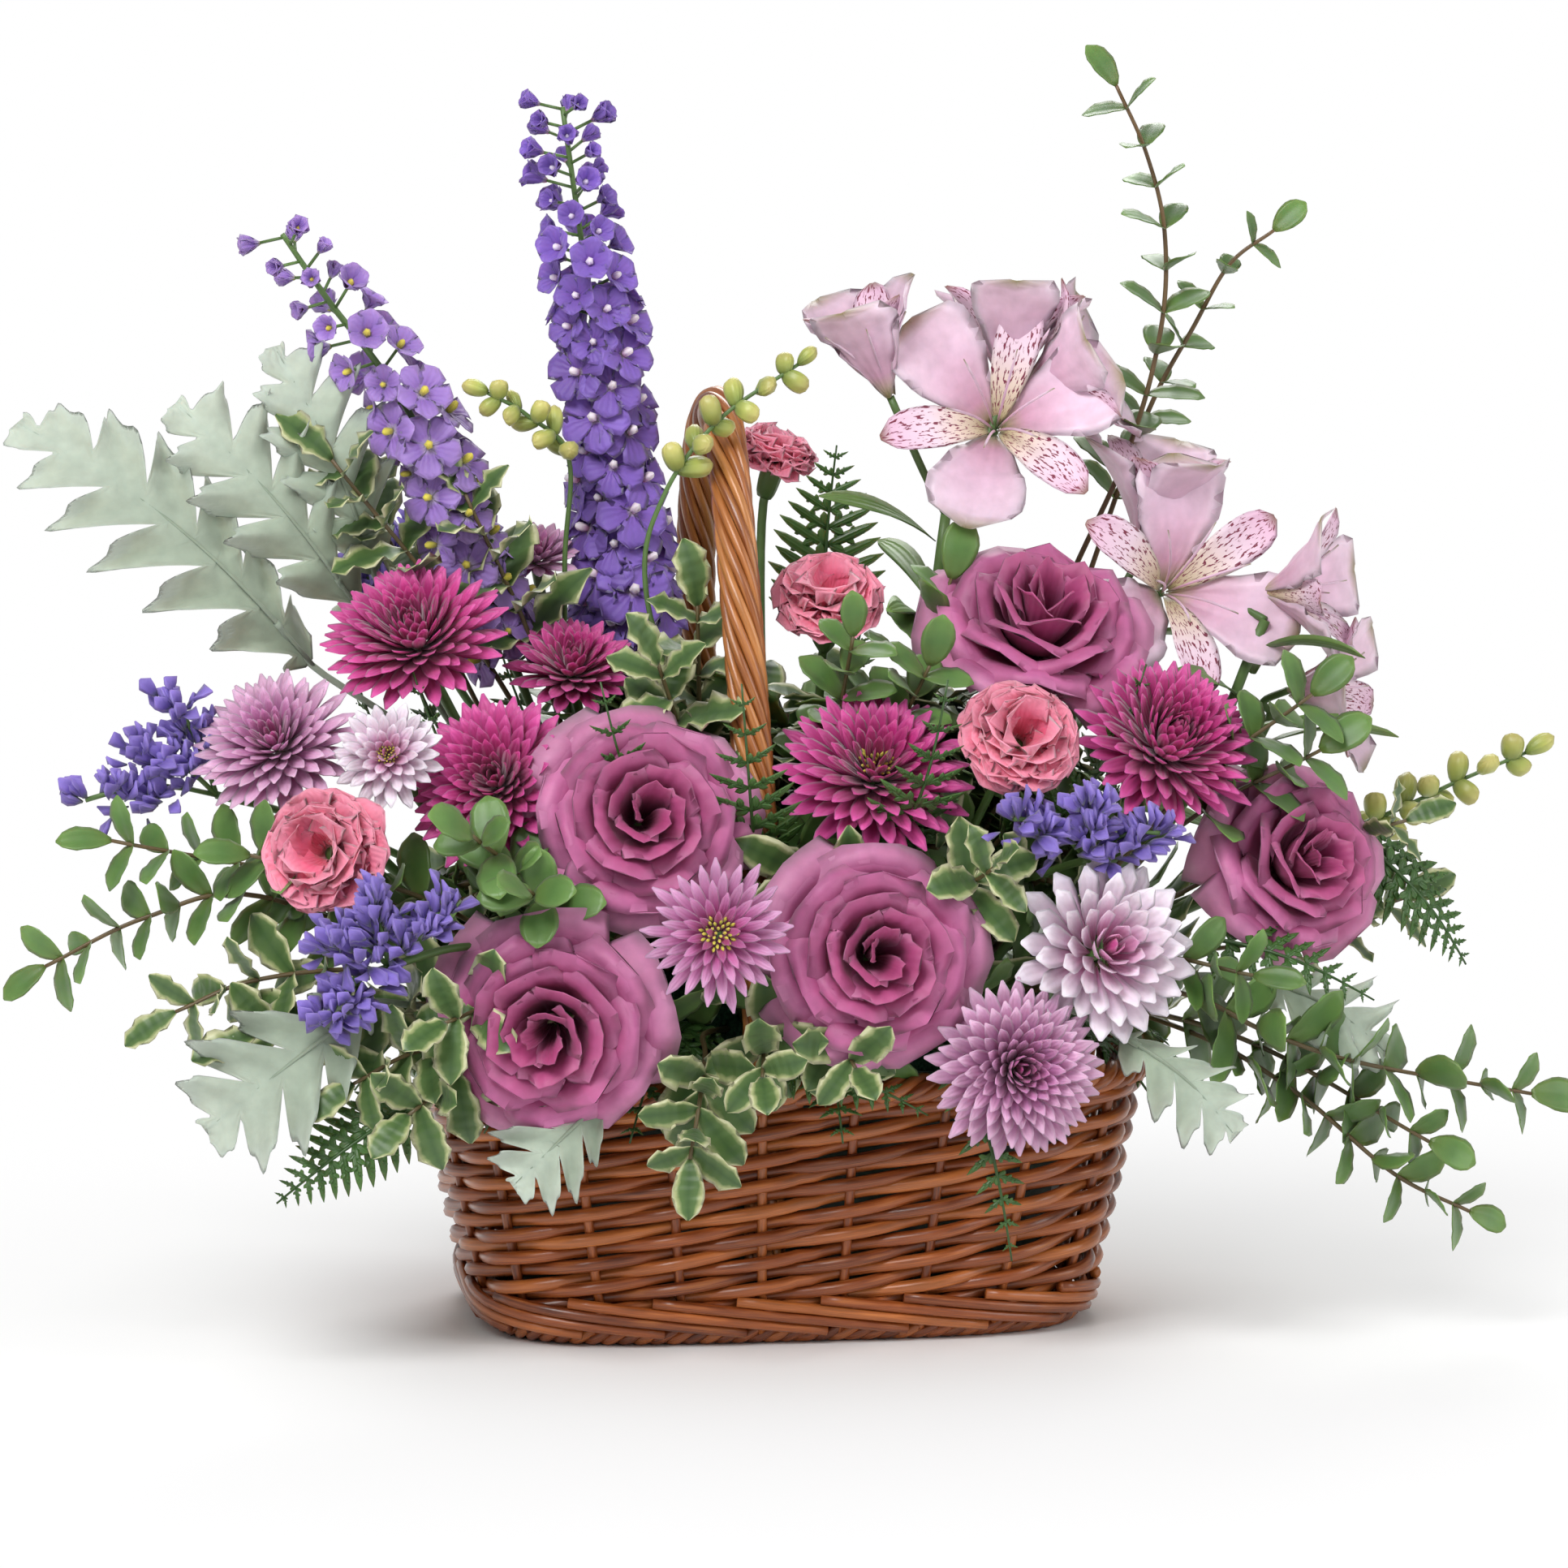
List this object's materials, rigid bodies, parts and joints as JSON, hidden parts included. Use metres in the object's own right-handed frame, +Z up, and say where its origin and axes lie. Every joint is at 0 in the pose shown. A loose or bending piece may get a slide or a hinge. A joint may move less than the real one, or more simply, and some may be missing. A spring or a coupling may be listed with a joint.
{
  "type": "flower basket arrangement",
  "caption": "Rectangular willow basket with a roped handle, filled with roses, mums, carnations, lilies, spire flowers and mixed foliage in floral foam.",
  "frame": {"origin": "middle of the underside of the basket's base, on the surface that it stands on", "axes": "+X along the basket's long side, -Y out of its front, +Z up"},
  "size_m": [0.5654, 0.2388, 0.4492],
  "materials": {
    "alstroemeria": "satin",
    "bud": "satin",
    "carnation": "matte",
    "dusty_miller": "matte",
    "eucalyptus": "matte",
    "fern": "satin",
    "foam": "matte",
    "larkspur": "matte",
    "liner": "satin",
    "mum_lavender": "matte",
    "mum_magenta": "matte",
    "pittosporum": "satin",
    "rose": "matte",
    "statice": "matte",
    "willow": "satin",
    "willow_roped": "satin"
  },
  "bodies": {
    "root": {"alstroemeria_far_right": "alstroemeria", "alstroemeria_low_right": "alstroemeria", "alstroemeria_right": "alstroemeria", "alstroemeria_top": "alstroemeria", "base_panel": "willow", "bud_spray_left": "bud", "bud_spray_middle": "bud", "bud_spray_right": "bud", "carnation_back": "carnation", "carnation_left": "carnation", "carnation_middle": "carnation", "carnation_right": "carnation", "dusty_miller_far_right": "dusty_miller", "dusty_miller_left": "dusty_miller", "dusty_miller_right": "dusty_miller", "eucalyptus_left": "eucalyptus", "eucalyptus_right": "eucalyptus", "eucalyptus_top": "eucalyptus", "eucalyptus_top_side": "eucalyptus", "eucalyptus_trailing": "eucalyptus", "fern_back": "fern", "fern_left": "fern", "fern_right": "fern", "foam": "foam", "foot_border": "willow", "handle_core": "willow", "handle_wrap": "willow_roped", "larkspur_lavender": "larkspur", "larkspur_violet": "larkspur", "liner": "liner", "mum_bicolour": "mum_lavender", "mum_lavender_far_left": "mum_lavender", "mum_lavender_front": "mum_lavender", "mum_magenta_half_hidden": "mum_magenta", "mum_magenta_left": "mum_magenta", "mum_magenta_middle": "mum_magenta", "mum_magenta_right": "mum_magenta", "mum_magenta_top_left": "mum_magenta", "mum_pale_back": "mum_lavender", "mum_spider": "mum_lavender", "mum_spoon": "mum_lavender", "pittosporum_back_left": "pittosporum", "pittosporum_front": "pittosporum", "pittosporum_left": "pittosporum", "pittosporum_right": "pittosporum", "pittosporum_rim_left": "pittosporum", "rim_border": "willow", "rose_front": "rose", "rose_front_left": "rose", "rose_left": "rose", "rose_right": "rose", "rose_top": "rose", "statice_back": "statice", "statice_left": "statice", "statice_low_left": "statice", "statice_right": "statice", "wall": "willow"}
  },
  "joints": []
}
